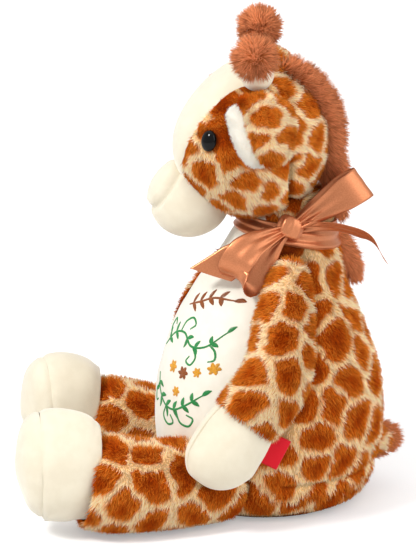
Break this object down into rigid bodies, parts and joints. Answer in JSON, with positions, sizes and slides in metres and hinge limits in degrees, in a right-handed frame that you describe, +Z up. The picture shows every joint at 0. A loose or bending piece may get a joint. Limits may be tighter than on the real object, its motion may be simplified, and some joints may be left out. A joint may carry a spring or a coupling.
{
  "type": "plush giraffe toy",
  "caption": "Sitting plush giraffe with spotted fur, velour belly, feet and muzzle, folding ears, horn pompons, mane, tail and a satin neck bow.",
  "frame": {"origin": "middle of the flat seat that the toy rests on", "axes": "+Z up, the toy faces -Y, its left side is towards +X"},
  "size_m": [0.2321, 0.3138, 0.3876],
  "materials": {
    "patterned_fur": "short pile, spotted",
    "cream_velour": "velour",
    "white_plush": "curly pile",
    "ginger_fur": "long pile",
    "copper_satin": "satin",
    "black_gloss": "gloss",
    "washer_plastic": "matte",
    "fibre_fill": "loose fibre",
    "red_label": "woven",
    "zip_tape": "woven",
    "zip_metal": "brushed"
  },
  "bodies": {
    "torso": {"torso_skin": "patterned_fur", "belly_panel": "cream_velour", "seat_panel": "patterned_fur", "torso_filling": "fibre_fill", "zip_tape": "zip_tape", "mane_lower": "ginger_fur", "side_label": "red_label", "bow_band": "copper_satin", "bow_knot": "copper_satin", "bow_loop_back": "copper_satin", "bow_loop_front": "copper_satin", "bow_tail_back": "copper_satin", "bow_tail_front": "copper_satin"},
    "neck": {"neck_filling": "fibre_fill"},
    "head": {"head_skin": "patterned_fur", "face_blaze": "cream_velour", "muzzle": "cream_velour", "head_filling": "fibre_fill", "mane_upper": "ginger_fur", "eye_left": "black_gloss", "eye_washer_left": "washer_plastic", "eye_right": "black_gloss", "eye_washer_right": "washer_plastic"},
    "ear_left": {"ear_left": "patterned_fur", "ear_lining_left": "white_plush"},
    "ear_right": {"ear_right": "patterned_fur", "ear_lining_right": "white_plush"},
    "horn_left": {"horn_left": "cream_velour", "pompon_left": "ginger_fur"},
    "horn_right": {"horn_right": "cream_velour", "pompon_right": "ginger_fur"},
    "arm_left": {"arm_skin_left": "patterned_fur", "paw_left": "cream_velour", "arm_filling_left": "fibre_fill"},
    "arm_right": {"arm_skin_right": "patterned_fur", "paw_right": "cream_velour", "arm_filling_right": "fibre_fill"},
    "leg_left": {"leg_skin_left": "patterned_fur", "foot_left": "cream_velour", "sole_left": "cream_velour", "leg_filling_left": "fibre_fill"},
    "leg_right": {"leg_skin_right": "patterned_fur", "foot_right": "cream_velour", "sole_right": "cream_velour", "leg_filling_right": "fibre_fill"},
    "tail": {"tail": "patterned_fur", "tail_tuft": "ginger_fur"},
    "zip_slider": {"zip_slider": "zip_metal"}
  },
  "joints": [
    {"name": "head_turn", "type": "hinge", "parent": "torso", "child": "neck", "pos_m": [0, 0.016, 0.217], "axis": [0, 0, 1], "range_deg": [-10, 10], "stiffness_Nm_per_rad": 0.5},
    {"name": "head_nod", "type": "hinge", "parent": "neck", "child": "head", "pos_m": [0, 0.016, 0.217], "axis": [0.9491, -0.2366, -0.2079], "range_deg": [-6, 6], "stiffness_Nm_per_rad": 2},
    {"name": "ear_fold_left", "type": "hinge", "parent": "head", "child": "ear_left", "pos_m": [0.05257, -0.02133, 0.32122], "axis": [-0.2419, -0.9703, 0], "range_deg": [0, 50]},
    {"name": "ear_fold_right", "type": "hinge", "parent": "head", "child": "ear_right", "pos_m": [-0.01778, -0.00379, 0.33663], "axis": [0.2419, 0.9703, 0], "range_deg": [0, 50]},
    {"name": "horn_flop_left", "type": "hinge", "parent": "head", "child": "horn_left", "pos_m": [0.04498, -0.0215, 0.33997], "axis": [0.8403, -0.2095, -0.5], "range_deg": [-15, 15], "stiffness_Nm_per_rad": 0.02},
    {"name": "horn_flop_right", "type": "hinge", "parent": "head", "child": "horn_right", "pos_m": [-0.00437, -0.00919, 0.35078], "axis": [0.965, -0.2406, 0.1045], "range_deg": [-15, 15], "stiffness_Nm_per_rad": 0.02},
    {"name": "arm_lift_left", "type": "hinge", "parent": "torso", "child": "arm_left", "pos_m": [0.0496, 0.0047, 0.196], "axis": [-0.0872, -0.9962, 0], "range_deg": [0, 30]},
    {"name": "arm_lift_right", "type": "hinge", "parent": "torso", "child": "arm_right", "pos_m": [-0.04803, 0.01324, 0.196], "axis": [0.0872, 0.9962, 0], "range_deg": [0, 30]},
    {"name": "leg_lift_left", "type": "hinge", "parent": "torso", "child": "leg_left", "pos_m": [0.046, -0.06, 0.035], "axis": [-0.9962, -0.0872, 0], "range_deg": [0, 16]},
    {"name": "leg_lift_right", "type": "hinge", "parent": "torso", "child": "leg_right", "pos_m": [-0.066, -0.032, 0.035], "axis": [-0.9744, 0.225, 0], "range_deg": [0, 16]},
    {"name": "tail_wag", "type": "hinge", "parent": "torso", "child": "tail", "pos_m": [0, 0.0826, 0.034], "axis": [0, 0, 1], "range_deg": [-12, 12]},
    {"name": "zip_slide", "type": "slide", "parent": "torso", "child": "zip_slider", "axis": [1, 0, 0], "range_m": [0, 0.064]}
  ]
}
